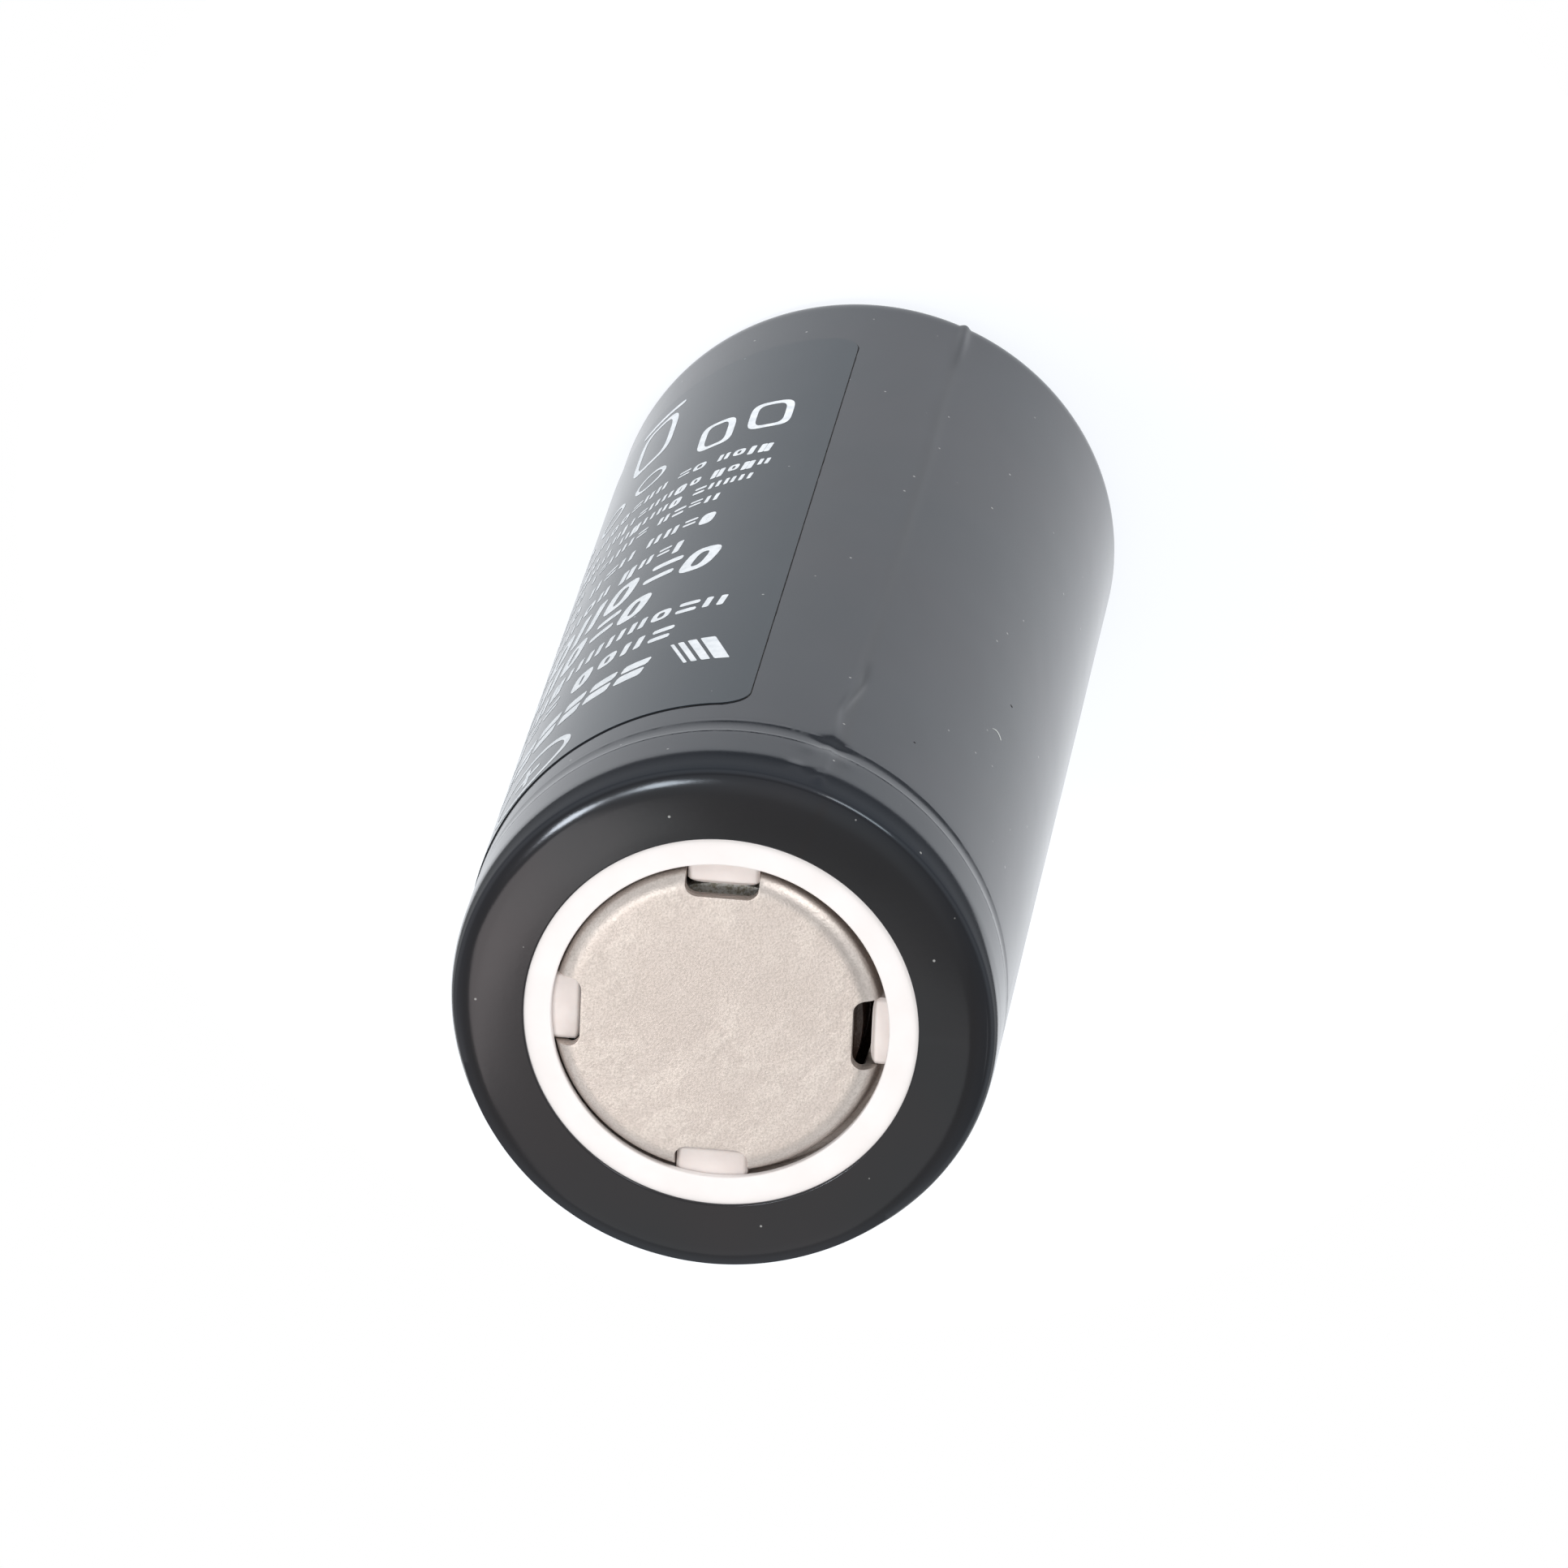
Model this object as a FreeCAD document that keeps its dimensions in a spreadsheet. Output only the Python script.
import FreeCAD, Part
import math
import os
import re
import Sketcher

# A flat-top 26650 lithium-ion cell, standing on its negative end.
# Millimetres. +Z is the cell's axis, the positive cap is at the top, and the
# origin is the centre of the contact face under the can.

DOC = FreeCAD.newDocument("battery_cell")

# alias, value, meaning
SIZES = [
    # the whole cell
    ("cell_height", 65.2, "floor contact to the top of the positive cap"),
    ("sleeve_radius", 13.2, "outside of the shrink sleeve"),
    ("film", 0.15, "thickness of the shrink sleeve"),
    # can
    ("can_wall", 0.35, "drawn wall of the can"),
    ("can_floor", 0.5, "bottom of the can"),
    ("boss_radius", 9.0, "coined contact boss under the can"),
    ("boss_height", 0.25, "boss stands out of the can's bottom"),
    ("boss_slope", 0.2, "width of the slope around the boss"),
    ("heel_radius", 1.2, "rounded bottom edge of the can"),
    ("bead_level", 59.8, "middle of the bead groove"),
    ("bead_throat", 0.3, "half width of the groove, and the radius of its bottom"),
    ("bead_lip", 0.5, "rounded lips of the groove"),
    ("bead_depth", 1.45, "depth of the groove"),
    ("neck_level", 62.6, "where the wall above the bead starts to lean in"),
    ("neck_lean", 0.2, "how far the neck leans in"),
    ("neck_rise", 1.35, "height of the leaning neck"),
    ("neck_bend", 4.66, "radius of the leaning neck"),
    ("crimp_bend", 0.845, "rounded top edge of the crimp"),
    ("crimp_width", 0.81, "radial width of that rounded edge"),
    ("crimp_level", 64.55, "top of the crimped rim"),
    ("crimp_hole", 9.9, "opening inside the crimped rim"),
    ("neck_normal_across", 0.957, "cosine of the neck's lean at its top"),
    ("neck_normal_up", 0.29, "sine of the neck's lean at its top"),
    # shrink sleeve
    ("lip_level", 65.1, "top of the sleeve's folded lip"),
    ("lip_hole", 9.46, "opening in the sleeve's top lip"),
    ("foot_hole", 9.6, "opening in the sleeve's bottom lip"),
    ("shoulder_level", 62.9, "where the sleeve's shoulder starts to lean in"),
    ("shoulder_lean", 0.25, "how far the shoulder leans in"),
    ("shoulder_rise", 1.85, "height of the leaning shoulder"),
    ("shoulder_bend", 6.97, "radius of the leaning shoulder"),
    ("corner_bend", 0.477, "rounded top corner of the sleeve"),
    ("corner_width", 0.46, "radial width of that corner"),
    ("shoulder_normal_across", 0.964, "cosine of the shoulder's lean at its top"),
    ("shoulder_normal_up", 0.266, "sine of the shoulder's lean at its top"),
    ("dip_half", 0.6, "half width of the sleeve's dip over the bead"),
    ("dip_depth", 0.22, "depth of that dip"),
    ("dip_bend", 0.928, "radius of that dip"),
    ("fold_half", 0.65, "half width of the lengthwise fold"),
    ("fold_base", 13.12, "where the fold grows out of the film"),
    ("fold_bend", 1.033, "rounded back of the fold"),
    ("fold_start", 2.0, "lower end of the fold"),
    ("fold_length", 56.8, "length of the fold, up to the bead"),
    ("fold_turn", -108.3, "direction of the fold, degrees"),
    # label film
    ("label_thick", 0.06, "printed film stuck on the sleeve"),
    ("label_low", 6.4, "lower edge of the label"),
    ("label_high", 57.1, "upper edge of the label"),
    ("label_sweep", 250.0, "angle that the label covers, degrees"),
    ("label_turn", -89.3, "direction of the label's first edge, degrees"),
    ("label_corner", 1.2, "rounded corners of the label"),
    # closure
    ("washer_hole", 8.1, "hole in the insulating washer"),
    ("washer_radius", 12.4, "outside of the insulating washer"),
    ("washer_thick", 0.4, "insulating washer"),
    ("washer_shift", 0.06, "washer lies off centre"),
    ("cap_radius", 7.95, "raised part of the positive cap"),
    ("cap_sheet", 0.6, "sheet of the positive cap"),
    ("cap_shoulder", 1.0, "rounded edge of the cap"),
    ("cap_foot", 0.3, "rounding where the skirt meets the flange"),
    ("cap_flange", 11.4, "outside of the cap's flange"),
    ("cap_shift", 0.2, "cap lies off centre"),
    ("slot_start", 6.5, "inner edge of a vent slot"),
    ("slot_width", 3.55, "width of a vent slot"),
    ("slot_corner", 0.5, "rounded corners of a vent slot"),
    ("slot_reach", 8.6, "a slot is cut out to here"),
    ("slot_number", 4, "vent slots in the cap"),
    ("gasket_wall", 1.05, "thickness of the sealing gasket"),
    ("gasket_hole", 8.5, "opening in the gasket's upper lip"),
    ("gasket_floor_hole", 8.4, "opening in the gasket's floor"),
    ("gasket_skirt_inner", 10.2, "inside of the gasket's lower skirt"),
    ("gasket_skirt_outer", 11.15, "outside of the gasket's lower skirt"),
    ("gasket_skirt", 0.6, "depth of the gasket's lower skirt"),
    ("bulge_start", 6.85, "gasket bulges into the slots up to here"),
    ("bulge_gap", 0.22, "clearance beside a bulge"),
    ("bulge_drop", 0.7, "top of a bulge below the top of the cap"),
    ("stack_radius", 11.6, "outside of the vent disc and the fuse ring"),
    ("ptc_hole", 8.2, "hole in the fuse ring"),
    ("ptc_thick", 0.5, "fuse ring"),
    ("disc_thick", 0.4, "vent disc"),
    ("disc_flange_hole", 7.6, "inner edge of the vent disc's flange"),
    ("disc_floor_radius", 6.8, "flat floor of the vent disc"),
    ("disc_drop", 0.6, "floor of the vent disc below its flange"),
    ("rib_inner", 5.5, "inside of the vent disc's raised rib"),
    ("rib_outer", 6.45, "outside of the hollow under that rib"),
    ("rib_slope", 0.1, "lean of the rib's flanks"),
    ("rib_wall", 0.3, "radial thickness of the rib's flanks"),
    ("rib_level", 63.6, "top of the rib"),
    ("score_radius", 5.0, "scored line of the vent disc"),
    ("score_half", 0.15, "half width of the score"),
    ("score_depth", 0.25, "depth of the score"),
    ("nipple_radius", 1.4, "flat weld spot in the middle of the vent disc"),
    ("nipple_slope", 0.8, "width of the slope around the weld spot"),
    ("cid_hole", 4.4, "hole in the disc's insulating ring"),
    ("cid_radius", 6.4, "outside of the disc's insulating ring"),
    ("cid_thick", 0.6, "insulating ring between disc and weld plate"),
    ("plate_radius", 6.0, "weld plate"),
    ("plate_thick", 0.4, "weld plate"),
    ("plate_port", 0.6, "gas port in the weld plate, radius"),
    ("plate_port_circle", 3.2, "circle of the gas ports"),
    ("plate_port_number", 6, "gas ports in the weld plate"),
    # winding
    ("tab_width", 5.0, "width of both tabs"),
    ("tab_thick", 0.12, "thickness of both tabs"),
    ("insulator_thick", 0.25, "discs above and below the winding"),
    ("insulator_radius", 12.2, "outside of those discs"),
    ("insulator_hole", 2.2, "hole over the winding's core"),
    ("tab_slot", 0.75, "a disc's slot reaches this far inside the tab"),
    ("gas_hole", 1.1, "gas holes of the top disc, radius"),
    ("gas_circle", 8.6, "circle of the gas holes"),
    ("gas_number", 6, "gas holes in the top disc"),
    ("top_disc_level", 58.55, "under the top disc"),
    ("winding_turns", 12, "turns of the winding"),
    ("core_radius", 2.05, "inside of the winding"),
    ("electrode_thick", 0.33, "coated foil, thickened for a coarse winding"),
    ("separator_thick", 0.06, "porous film, thickened for a coarse winding"),
    ("layer_gap", 0.015, "space between layers"),
    ("cathode_low", 2.9, "lower edge of the cathode"),
    ("cathode_high", 56.8, "upper edge of the cathode"),
    ("anode_low", 2.1, "lower edge of the anode"),
    ("anode_high", 57.6, "upper edge of the anode"),
    ("separator_low", 1.3, "lower edge of both separators"),
    ("separator_high", 58.4, "upper edge of both separators"),
    ("pin_radius", 1.75, "centre pin"),
    ("pin_wall", 0.25, "wall of the centre pin"),
    ("pin_low", 1.3, "lower end of the centre pin"),
    ("pin_high", 58.2, "upper end of the centre pin"),
    ("pin_slit", 0.5, "width of the pin's slit"),
    ("tape_thick", 0.05, "insulating and closing tapes"),
    ("tape_width", 6.0, "width of a tab's tape"),
    ("positive_tab_place", 7.75, "positive tab's distance from the axis"),
    ("negative_tab_place", 11.53, "negative tab's distance from the axis"),
    ("closing_height", 46.0, "height of the winding's closing tape"),
    ("closing_sweep", 70.0, "angle of the winding's closing tape, degrees"),
    ("closing_radius", 12.2, "inside of the winding's closing tape"),
]


def make_sheet():
    """Spreadsheet with one aliased number per row."""
    sheet = DOC.addObject("Spreadsheet::Sheet", "Sizes")
    for row, (alias, number, meaning) in enumerate(SIZES, start=1):
        sheet.set(f"A{row}", alias)
        sheet.set(f"B{row}", str(number))
        sheet.set(f"C{row}", meaning)
        sheet.setAlias(f"B{row}", alias)
    DOC.recompute()
    return sheet


SHEET = make_sheet()

# Heights and radii that follow from the driving sizes, as sheet formulas.
CAN_RADIUS = "(sleeve_radius - film)"
CAN_BORE = "(sleeve_radius - film - can_wall)"
CAN_INSIDE_FLOOR = "(boss_height + can_floor)"
BEAD_THROAT_RADIUS = "(sleeve_radius - film - bead_depth + bead_throat)"
BEAD_LIP_HALF = "(bead_throat + bead_lip)"
BEAD_FOLD = "(bead_throat + can_wall)"
SHELF = "(bead_level + bead_throat + can_wall)"
NECK_TOP = "(neck_level + neck_rise)"
SHOULDER_TOP = "(shoulder_level + shoulder_rise)"
DISC_LEVEL = "(bead_level + bead_throat + can_wall + gasket_wall)"
PTC_LEVEL = f"({DISC_LEVEL} + disc_thick)"
FLANGE_LEVEL = f"({PTC_LEVEL} + ptc_thick)"
FLANGE_TOP = f"({FLANGE_LEVEL} + cap_sheet)"
DISC_FLOOR_LEVEL = f"({DISC_LEVEL} - disc_drop)"
PLATE_TOP = f"({DISC_FLOOR_LEVEL} - cid_thick)"
PLATE_LEVEL = f"({PLATE_TOP} - plate_thick)"
PITCH = "((electrode_thick + separator_thick + layer_gap * 2) * 2)"


def linked(formula):
    """Point every alias in a formula at the sheet."""
    return re.sub(r"\b[a-z][a-z_]+\b(?!\()", r"Sizes.\g<0>", formula)


def amount(formula):
    """Present value of a formula."""
    return float(SHEET.evalExpression(linked(formula)))


def new_body(label):
    body = DOC.addObject("PartDesign::Body", label)
    body.Label = label
    return body


def new_sketch(body, name, role="XZ_Plane", level=None, turn=None):
    """Sketch on one of the body's origin planes, raised to a level and turned."""
    sketch = body.newObject("Sketcher::SketchObject", f"{body.Label}_{name}")
    plane = [item for item in body.Origin.OriginFeatures if item.Role == role][0]
    sketch.AttachmentSupport = [(plane, "")]
    sketch.MapMode = "FlatFace"
    if level is not None:
        sketch.setExpression("AttachmentOffset.Base.z", linked(level))
    if turn is not None:
        offset = sketch.AttachmentOffset
        offset.Rotation = FreeCAD.Rotation(FreeCAD.Vector(0, 0, 1), amount(turn))
        sketch.AttachmentOffset = offset
    return sketch


def pin_down(sketch, geometry, place, across, up):
    """Tie a point of the sketch to two formulas."""
    for kind, formula in (("DistanceX", across), ("DistanceY", up)):
        number = amount(formula)
        index = sketch.addConstraint(Sketcher.Constraint(kind, -1, 1, geometry, place, number))
        sketch.setExpression(f"Constraints[{index}]", linked(formula))


def arc_between(start, end, bend):
    """Arc with a signed radius: a positive bend turns left, a negative one right."""
    chord = end - start
    middle = (start + end) * 0.5
    left = FreeCAD.Vector(-chord.y, chord.x, 0).normalize()
    reach = math.sqrt(max(bend * bend - chord.Length ** 2 / 4, 0))
    side = 1 if bend > 0 else -1
    centre = middle + left * reach * side
    first = math.atan2(start.y - centre.y, start.x - centre.x)
    last = math.atan2(end.y - centre.y, end.x - centre.x)
    if side < 0:
        first, last = last, first
    circle = Part.Circle(centre, FreeCAD.Vector(0, 0, 1), abs(bend))
    return Part.ArcOfCircle(circle, first, last), side > 0


def outline(sketch, corners):
    """Closed outline. A corner is (across, up), or (across, up, bend, radius formula)
    where an arc leads to it; bend is "left" or "right"."""
    points = [FreeCAD.Vector(amount(corner[0]), amount(corner[1]), 0) for corner in corners]
    ends = []
    for index, corner in enumerate(corners):
        start = points[index - 1]
        end = points[index]
        if len(corner) == 2:
            geometry = sketch.addGeometry(Part.LineSegment(start, end))
            ends.append((geometry, 1, 2))
            continue
        sign = 1 if corner[2] == "left" else -1
        arc, forward = arc_between(start, end, sign * amount(corner[3]))
        geometry = sketch.addGeometry(arc)
        ends.append((geometry, 1, 2) if forward else (geometry, 2, 1))
    for index, corner in enumerate(corners):
        geometry, _, finish = ends[index]
        following, begin, _ = ends[(index + 1) % len(corners)]
        sketch.addConstraint(Sketcher.Constraint("Coincident", geometry, finish, following, begin))
        pin_down(sketch, geometry, finish, corner[0], corner[1])
    for index, corner in enumerate(corners):
        if len(corner) == 4:
            number = amount(corner[3])
            radius = Sketcher.Constraint("Radius", ends[index][0], number)
            sketch.setExpression(f"Constraints[{sketch.addConstraint(radius)}]", linked(corner[3]))


def circle(sketch, radius, across="0", up="0"):
    centre = FreeCAD.Vector(amount(across), amount(up), 0)
    shape = Part.Circle(centre, FreeCAD.Vector(0, 0, 1), amount(radius))
    geometry = sketch.addGeometry(shape)
    pin_down(sketch, geometry, 3, across, up)
    index = sketch.addConstraint(Sketcher.Constraint("Radius", geometry, amount(radius)))
    sketch.setExpression(f"Constraints[{index}]", linked(radius))


def rectangle(sketch, low_across, low_up, high_across, high_up):
    outline(sketch, [
        (low_across, low_up),
        (high_across, low_up),
        (high_across, high_up),
        (low_across, high_up),
    ])


def revolved(body, sketch, angle=None):
    turned = body.newObject("PartDesign::Revolution", f"{body.Label}_turned")
    turned.Profile = sketch
    turned.ReferenceAxis = (sketch, ["V_Axis"])
    turned.Angle = 360
    if angle:
        turned.setExpression("Angle", linked(angle))
    return turned


def padded(body, sketch, length, name="pad", centred=False):
    pad = body.newObject("PartDesign::Pad", f"{body.Label}_{name}")
    pad.Profile = sketch
    pad.Midplane = centred
    pad.setExpression("Length", linked(length))
    return pad


def pocketed(body, sketch, depth, name="pocket"):
    """Cut downwards from the sketch."""
    pocket = body.newObject("PartDesign::Pocket", f"{body.Label}_{name}")
    pocket.Profile = sketch
    pocket.setExpression("Length", linked(depth))
    return pocket


def repeated(body, feature, number):
    """Polar pattern about the cell's axis."""
    pattern = body.newObject("PartDesign::PolarPattern", f"{feature.Name}_ring")
    pattern.Originals = [feature]
    axis = [item for item in body.Origin.OriginFeatures if item.Role == "Z_Axis"][0]
    pattern.Axis = (axis, [""])
    pattern.Angle = 360
    pattern.setExpression("Occurrences", linked(number))
    body.Tip = pattern
    return pattern


def disc(label, level, thick, radius, hole=None):
    """Flat round plate, with a hole in the middle if one is given."""
    body = new_body(label)
    sketch = new_sketch(body, "plan", "XY_Plane", level)
    circle(sketch, radius)
    if hole:
        circle(sketch, hole)
    padded(body, sketch, thick)
    return body


# ---------------------------------------------------------------- outer pieces


def make_can():
    """Drawn can with a coined boss, a bead groove and a crimped rim."""
    body = new_body("can")
    inner_neck = f"({CAN_RADIUS} - neck_lean - can_wall * neck_normal_across)"
    inner_neck_top = f"({NECK_TOP} - can_wall * neck_normal_up)"
    crimp_edge = f"({CAN_RADIUS} - neck_lean - crimp_width)"
    section = new_sketch(body, "section")
    outline(section, [
        ("0", "0"),
        ("boss_radius", "0"),
        ("boss_radius + boss_slope", "boss_height"),
        (f"{CAN_RADIUS} - heel_radius", "boss_height"),
        (CAN_RADIUS, "boss_height + heel_radius", "left", "heel_radius"),
        (CAN_RADIUS, f"bead_level - {BEAD_LIP_HALF}"),
        (f"{CAN_RADIUS} - bead_lip", "bead_level - bead_throat", "left", "bead_lip"),
        (BEAD_THROAT_RADIUS, "bead_level - bead_throat"),
        (f"{BEAD_THROAT_RADIUS} - bead_throat", "bead_level", "right", "bead_throat"),
        (BEAD_THROAT_RADIUS, "bead_level + bead_throat", "right", "bead_throat"),
        (f"{CAN_RADIUS} - bead_lip", "bead_level + bead_throat"),
        (CAN_RADIUS, f"bead_level + {BEAD_LIP_HALF}", "left", "bead_lip"),
        (CAN_RADIUS, "neck_level"),
        (f"{CAN_RADIUS} - neck_lean", NECK_TOP, "left", "neck_bend"),
        (crimp_edge, "crimp_level", "left", "crimp_bend"),
        ("crimp_hole", "crimp_level"),
        ("crimp_hole", "crimp_level - can_wall"),
        (crimp_edge, "crimp_level - can_wall"),
        (inner_neck, inner_neck_top, "right", "crimp_bend - can_wall"),
        (CAN_BORE, "neck_level", "right", "neck_bend - can_wall"),
        (CAN_BORE, f"bead_level + {BEAD_LIP_HALF}"),
        (f"{CAN_RADIUS} - bead_lip", SHELF, "right", "bead_lip - can_wall"),
        (BEAD_THROAT_RADIUS, SHELF),
        (f"{BEAD_THROAT_RADIUS} - {BEAD_FOLD}", "bead_level", "left", BEAD_FOLD),
        (BEAD_THROAT_RADIUS, f"bead_level - {BEAD_FOLD}", "left", BEAD_FOLD),
        (f"{CAN_RADIUS} - bead_lip", f"bead_level - {BEAD_FOLD}"),
        (CAN_BORE, f"bead_level - {BEAD_LIP_HALF}", "right", "bead_lip - can_wall"),
        (CAN_BORE, f"{CAN_INSIDE_FLOOR} + heel_radius - can_wall"),
        (f"{CAN_RADIUS} - heel_radius", CAN_INSIDE_FLOOR, "right", "heel_radius - can_wall"),
        ("0", CAN_INSIDE_FLOOR),
    ])
    revolved(body, section)
    return body


def make_sleeve():
    """Shrunk film, folded over both ends, with a dip at the bead and one fold."""
    body = new_body("shrink_sleeve")
    inner_shoulder = "sleeve_radius - shoulder_lean - film * shoulder_normal_across"
    inner_shoulder_top = f"{SHOULDER_TOP} - film * shoulder_normal_up"
    corner_edge = "sleeve_radius - shoulder_lean - corner_width"
    section = new_sketch(body, "section")
    outline(section, [
        ("foot_hole", "boss_height - film"),
        (f"{CAN_RADIUS} - heel_radius", "boss_height - film"),
        ("sleeve_radius", "boss_height + heel_radius", "left", "heel_radius + film"),
        ("sleeve_radius", "bead_level - dip_half"),
        ("sleeve_radius - dip_depth", "bead_level", "right", "dip_bend"),
        ("sleeve_radius", "bead_level + dip_half", "right", "dip_bend"),
        ("sleeve_radius", "shoulder_level"),
        ("sleeve_radius - shoulder_lean", SHOULDER_TOP, "left", "shoulder_bend"),
        (corner_edge, "lip_level", "left", "corner_bend"),
        ("lip_hole", "lip_level"),
        ("lip_hole", "lip_level - film"),
        (corner_edge, "lip_level - film"),
        (inner_shoulder, inner_shoulder_top, "right", "corner_bend - film"),
        (CAN_RADIUS, "shoulder_level", "right", "shoulder_bend - film"),
        (CAN_RADIUS, "bead_level + dip_half"),
        (f"{CAN_RADIUS} - dip_depth", "bead_level", "left", "dip_bend"),
        (CAN_RADIUS, "bead_level - dip_half", "left", "dip_bend"),
        (CAN_RADIUS, "boss_height + heel_radius"),
        (f"{CAN_RADIUS} - heel_radius", "boss_height", "right", "heel_radius"),
        ("foot_hole", "boss_height"),
    ])
    revolved(body, section)
    fold = new_sketch(body, "fold", "XY_Plane", "fold_start", "fold_turn")
    outline(fold, [
        ("fold_base", "-fold_half"),
        ("fold_base", "fold_half", "left", "fold_bend"),
    ])
    padded(body, fold, "fold_length", "fold_ridge")
    return body


def make_label():
    """Printed film wrapped most of the way around the sleeve."""
    body = new_body("label_film")
    section = new_sketch(body, "section")
    rectangle(section, "sleeve_radius", "label_low", "sleeve_radius + label_thick", "label_high")
    film = revolved(body, section, "label_sweep")
    DOC.recompute()
    short = [
        f"Edge{number}"
        for number, edge in enumerate(film.Shape.Edges, start=1)
        if abs(edge.Length - amount("label_thick")) < 1e-6
    ]
    corners = body.newObject("PartDesign::Fillet", "label_corners")
    corners.Base = (film, short)
    corners.setExpression("Radius", linked("label_corner"))
    spin = FreeCAD.Rotation(FreeCAD.Vector(0, 0, 1), amount("label_turn"))
    body.Placement = FreeCAD.Placement(FreeCAD.Vector(), spin)
    return body


# ------------------------------------------------------------------- closure


def make_washer():
    body = disc("insulator_washer", "crimp_level", "washer_thick", "washer_radius", "washer_hole")
    body.setExpression("Placement.Base.x", linked("washer_shift"))
    return body


def make_cap():
    """Stamped hat with a flange and four vent slots through its shoulder and skirt."""
    body = new_body("positive_cap")
    skirt_bore = "(cap_radius - cap_sheet)"
    section = new_sketch(body, "section")
    outline(section, [
        ("0", "cell_height - cap_sheet"),
        ("cap_radius - cap_shoulder", "cell_height - cap_sheet"),
        (skirt_bore, "cell_height - cap_shoulder", "right", "cap_shoulder - cap_sheet"),
        (skirt_bore, FLANGE_LEVEL),
        ("cap_flange", FLANGE_LEVEL),
        ("cap_flange", FLANGE_TOP),
        ("cap_radius + cap_foot", FLANGE_TOP),
        ("cap_radius", f"{FLANGE_TOP} + cap_foot", "right", "cap_foot"),
        ("cap_radius", "cell_height - cap_shoulder"),
        ("cap_radius - cap_shoulder", "cell_height", "left", "cap_shoulder"),
        ("0", "cell_height"),
    ])
    revolved(body, section)
    slot = new_sketch(body, "slot", "XY_Plane", "cell_height")
    outline(slot, [
        ("slot_reach", "-slot_width / 2"),
        ("slot_reach", "slot_width / 2"),
        ("slot_start + slot_corner", "slot_width / 2"),
        ("slot_start", "slot_width / 2 - slot_corner", "left", "slot_corner"),
        ("slot_start", "-slot_width / 2 + slot_corner"),
        ("slot_start + slot_corner", "-slot_width / 2", "left", "slot_corner"),
    ])
    cut = pocketed(body, slot, f"cell_height - {FLANGE_TOP}", "slot_cut")
    repeated(body, cut, "slot_number")
    body.setExpression("Placement.Base.x", linked("cap_shift"))
    return body


def make_gasket():
    """Moulded gasket squeezed between can and closure; it bulges into the vent slots."""
    body = new_body("sealing_gasket")
    inner_neck = f"({CAN_RADIUS} - neck_lean - can_wall * neck_normal_across)"
    inner_neck_top = f"({NECK_TOP} - can_wall * neck_normal_up)"
    crimp_edge = f"({CAN_RADIUS} - neck_lean - crimp_width)"
    pocket_radius = f"({CAN_BORE} - gasket_wall)"
    under_crimp = "(crimp_level - can_wall)"
    section = new_sketch(body, "section")
    outline(section, [
        ("gasket_skirt_inner", f"{SHELF} - gasket_skirt"),
        ("gasket_skirt_outer", f"{SHELF} - gasket_skirt"),
        ("gasket_skirt_outer", SHELF),
        (f"{CAN_BORE} - bead_lip + can_wall", SHELF),
        (CAN_BORE, f"{SHELF} + bead_lip - can_wall", "left", "bead_lip - can_wall"),
        (CAN_BORE, "neck_level"),
        (inner_neck, inner_neck_top, "left", "neck_bend - can_wall"),
        (crimp_edge, under_crimp, "left", "crimp_bend - can_wall"),
        ("gasket_hole", under_crimp),
        ("gasket_hole", FLANGE_TOP),
        (pocket_radius, FLANGE_TOP),
        (pocket_radius, DISC_LEVEL),
        ("gasket_floor_hole", DISC_LEVEL),
        ("gasket_floor_hole", SHELF),
        ("gasket_skirt_inner", SHELF),
    ])
    revolved(body, section)
    bulge = new_sketch(body, "bulge", "XY_Plane", FLANGE_TOP)
    half = "(slot_width / 2 - bulge_gap)"
    rectangle(bulge, "bulge_start", f"-{half}", "gasket_hole + gasket_wall", half)
    height = f"cell_height - bulge_drop - {FLANGE_TOP}"
    repeated(body, padded(body, bulge, height, "bulge_pad"), "slot_number")
    return body


def make_vent_disc():
    """Thin scored disc, stiffened by a rib, that opens the circuit and then bursts."""
    body = new_body("vent_disc")
    floor_top = f"({DISC_FLOOR_LEVEL} + disc_thick)"
    under_rib = "(rib_level - disc_thick)"
    section = new_sketch(body, "section")
    outline(section, [
        ("0", PLATE_TOP),
        ("nipple_radius", PLATE_TOP),
        ("nipple_radius + nipple_slope", DISC_FLOOR_LEVEL),
        ("rib_inner", DISC_FLOOR_LEVEL),
        ("rib_inner + rib_slope", under_rib),
        ("rib_outer - rib_slope", under_rib),
        ("rib_outer", DISC_FLOOR_LEVEL),
        ("disc_floor_radius", DISC_FLOOR_LEVEL),
        ("disc_flange_hole", DISC_LEVEL),
        ("stack_radius", DISC_LEVEL),
        ("stack_radius", PTC_LEVEL),
        ("disc_flange_hole", PTC_LEVEL),
        ("disc_floor_radius", floor_top),
        ("rib_outer + rib_wall", floor_top),
        ("rib_outer - rib_slope + rib_wall", "rib_level"),
        ("rib_inner + rib_slope - rib_wall", "rib_level"),
        ("rib_inner - rib_wall", floor_top),
        ("score_radius + score_half", floor_top),
        ("score_radius", f"{floor_top} - score_depth"),
        ("score_radius - score_half", floor_top),
        ("nipple_radius + nipple_slope", floor_top),
        ("nipple_radius", f"{PLATE_TOP} + disc_thick"),
        ("0", f"{PLATE_TOP} + disc_thick"),
    ])
    revolved(body, section)
    return body


def make_weld_plate():
    body = disc("weld_plate", PLATE_LEVEL, "plate_thick", "plate_radius")
    port = new_sketch(body, "port", "XY_Plane", PLATE_TOP)
    circle(port, "plate_port", "plate_port_circle")
    repeated(body, pocketed(body, port, "plate_thick * 2"), "plate_port_number")
    return body


# ------------------------------------------------------------------- winding


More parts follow.
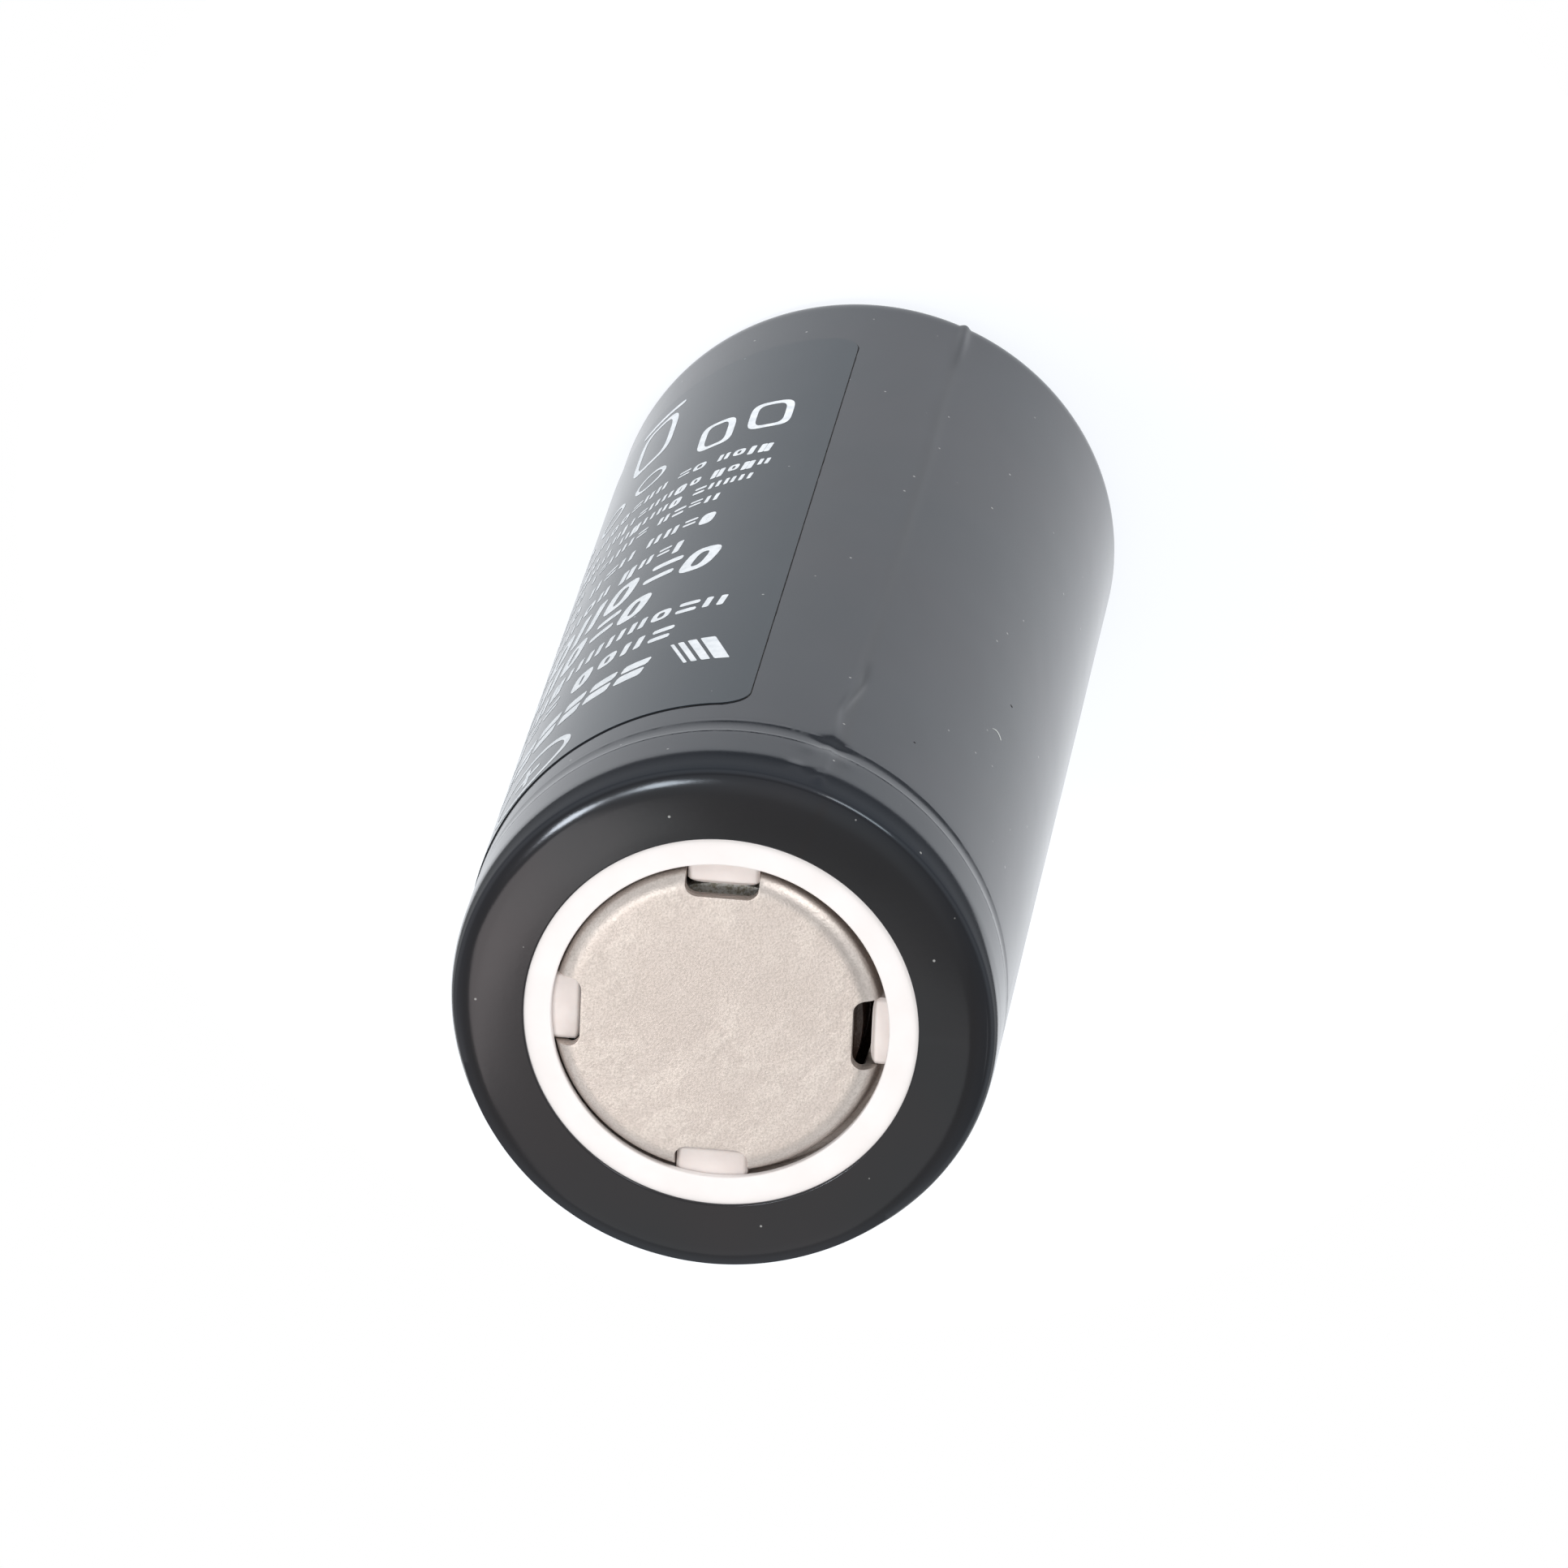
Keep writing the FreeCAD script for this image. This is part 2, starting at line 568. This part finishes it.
def tab_slot(body, place, top):
    """Slot that lets a curved tab through an insulating disc."""
    sketch = new_sketch(body, "tab_slot", "XY_Plane", top)
    half = "tab_width / 2 + tab_thick"
    rectangle(sketch, f"{place} - tab_slot", f"-({half})", f"{place} + tab_thick", half)
    return pocketed(body, sketch, "insulator_thick * 2", "tab_slot_cut")


def make_top_insulator():
    body = disc("top_insulator", "top_disc_level", "insulator_thick", "insulator_radius",
                "insulator_hole")
    top = "top_disc_level + insulator_thick"
    tab_slot(body, "positive_tab_place", top)
    hole = new_sketch(body, "gas_hole", "XY_Plane", top, "180 / gas_number")
    circle(hole, "gas_hole", "gas_circle")
    repeated(body, pocketed(body, hole, "insulator_thick * 2"), "gas_number")
    return body


def make_bottom_insulator():
    level = f"{CAN_INSIDE_FLOOR} + tab_thick"
    body = disc("bottom_insulator", level, "insulator_thick", "insulator_radius",
                "insulator_hole")
    tab_slot(body, "negative_tab_place", f"{level} + insulator_thick")
    return body


def make_centre_pin():
    """Rolled steel tube, slit along its length."""
    body = new_body("centre_pin")
    plan = new_sketch(body, "plan", "XY_Plane", "pin_low")
    circle(plan, "pin_radius")
    circle(plan, "pin_radius - pin_wall")
    padded(body, plan, "pin_high - pin_low")
    slit = new_sketch(body, "slit", "XY_Plane", "pin_high")
    rectangle(slit, "0", "-pin_slit / 2", "pin_radius * 2", "pin_slit / 2")
    pocketed(body, slit, "pin_high - pin_low")
    return body


def half_turn(number, radius, pitch):
    """Start, middle and end of one half turn of a two-centre spiral."""
    odd = number % 2
    shift = pitch / 2 * odd
    reach = radius + pitch * number / 2
    side = -1 if odd else 1
    start = FreeCAD.Vector(shift + side * reach, 0, 0)
    middle = FreeCAD.Vector(shift, side * reach, 0)
    end = FreeCAD.Vector(shift - side * reach, 0, 0)
    return start, middle, end


def make_wound(label, offset, thick, low, high, first, last):
    """Strip wound from half turn `first` up to half turn `last`, standing on edge."""
    pitch = amount(PITCH)
    inner = amount(f"core_radius + {offset}")
    outer = inner + amount(thick)
    turns = range(first, last)
    edges = [Part.Arc(*half_turn(turn, inner, pitch)).toShape() for turn in turns]
    edges += [Part.Arc(*half_turn(turn, outer, pitch)).toShape() for turn in turns]
    for turn, place in ((first, 0), (last - 1, 2)):
        ends = [half_turn(turn, radius, pitch)[place] for radius in (inner, outer)]
        edges.append(Part.makeLine(*ends))
    section = Part.Face(Part.Wire(Part.__sortEdges__(edges)))
    section.translate(FreeCAD.Vector(0, 0, amount(low)))
    strip = DOC.addObject("Part::Feature", label)
    strip.Label = label
    strip.Shape = section.extrude(FreeCAD.Vector(0, 0, amount(high) - amount(low)))
    strip.Placement = FreeCAD.Placement()
    return strip


def make_winding():
    """Separator, anode, separator and cathode, wound together."""
    half_turns = int(amount("winding_turns")) * 2
    layer = "separator_thick + layer_gap"
    plate = "electrode_thick + layer_gap"
    return [
        make_wound("separator_inner", "0", "separator_thick",
                   "separator_low", "separator_high", 0, half_turns),
        make_wound("anode", f"{layer}", "electrode_thick",
                   "anode_low", "anode_high", 0, half_turns - 1),
        make_wound("separator_outer", f"{layer} + {plate}", "separator_thick",
                   "separator_low", "separator_high", 0, half_turns),
        make_wound("cathode", f"{layer} + {plate} + {layer}", "electrode_thick",
                   "cathode_low", "cathode_high", 1, half_turns - 2),
    ]


def sector(sketch, inner, outer, width):
    """Curved strip seen end on: a ring between two radii, cut to a width."""
    half = f"{width} / 2"
    near = f"sqrt({inner} * {inner} - {half} * {half})"
    far = f"sqrt({outer} * {outer} - {half} * {half})"
    outline(sketch, [
        (far, f"-{half}"),
        (far, half, "left", outer),
        (near, half),
        (near, f"-{half}", "right", inner),
    ])


def make_tab(label, place, low, high, flat_level):
    """Curved riser beside an electrode and a flat run to the cell's axis."""
    body = new_body(label)
    inner = f"({place} - tab_thick / 2)"
    outer = f"({place} + tab_thick / 2)"
    riser = new_sketch(body, "riser", "XY_Plane", low)
    sector(riser, inner, outer, "tab_width")
    padded(body, riser, f"{high} - {low}", "riser_pad")
    run = new_sketch(body, "run", "XY_Plane", flat_level)
    corner = f"sqrt({outer} * {outer} - tab_width * tab_width / 4)"
    outline(run, [
        ("-tab_width / 2", "-tab_width / 2"),
        (corner, "-tab_width / 2"),
        (corner, "tab_width / 2", "left", outer),
        ("-tab_width / 2", "tab_width / 2"),
    ])
    padded(body, run, "tab_thick", "run_pad")
    return body


def make_tab_tape(label, place, low, high):
    """Tape on the outer face of a tab's riser."""
    body = new_body(label)
    plan = new_sketch(body, "plan", "XY_Plane", low)
    inner = f"({place} + tab_thick / 2)"
    sector(plan, inner, f"({place} + tab_thick / 2 + tape_thick)", "tape_width")
    padded(body, plan, f"{high} - {low}")
    return body


def make_winding_tape():
    """Tape over the outer end of the winding."""
    body = new_body("winding_tape")
    section = new_sketch(body, "section")
    middle = "(separator_low + separator_high) / 2"
    rectangle(section, "closing_radius", f"{middle} - closing_height / 2",
              "closing_radius + tape_thick", f"{middle} + closing_height / 2")
    revolved(body, section, "closing_sweep")
    shift = FreeCAD.Vector(amount(PITCH) / 2, 0, 0)
    spin = FreeCAD.Rotation(FreeCAD.Vector(0, 0, 1), -amount("closing_sweep"))
    body.Placement = FreeCAD.Placement(shift, spin)
    return body


def make_cell():
    """Every sub-part, from the outside inwards."""
    floor = CAN_INSIDE_FLOOR
    parts = [
        make_can(),
        make_sleeve(),
        make_label(),
        make_washer(),
        make_cap(),
        make_gasket(),
        disc("ptc_ring", PTC_LEVEL, "ptc_thick", "stack_radius", "ptc_hole"),
        make_vent_disc(),
        disc("cid_insulator", PLATE_TOP, "cid_thick", "cid_radius", "cid_hole"),
        make_weld_plate(),
        make_top_insulator(),
        make_bottom_insulator(),
        make_centre_pin(),
        make_tab("positive_tab", "positive_tab_place", "cathode_high", PLATE_LEVEL,
                 f"{PLATE_LEVEL} - tab_thick"),
        make_tab("negative_tab", "negative_tab_place", floor, "anode_low", floor),
        make_tab_tape("positive_tab_tape", "positive_tab_place", "cathode_high", "top_disc_level"),
        make_tab_tape("negative_tab_tape", "negative_tab_place",
                      f"({floor} + tab_thick + insulator_thick)", "anode_low"),
        make_winding_tape(),
    ]
    return parts + make_winding()


def check(parts):
    """Stop if any object failed or any sub-part is not one valid closed solid."""
    failed = [item.Label for item in DOC.Objects
              if "Invalid" in item.State or "Error" in item.State]
    for part in parts:
        shape = part.Shape
        if shape.isNull() or not shape.isValid() or len(shape.Solids) != 1:
            failed.append(part.Label)
    if failed:
        raise RuntimeError(f"failed: {sorted(set(failed))}")


def main():
    parts = make_cell()
    DOC.recompute()
    check(parts)
    os.makedirs("parts", exist_ok=True)
    for part in parts:
        part.Shape.exportStep(f"parts/{part.Label}.step")
        print(f"{part.Label:20s} {part.Shape.Volume:10.2f} mm3")


main()
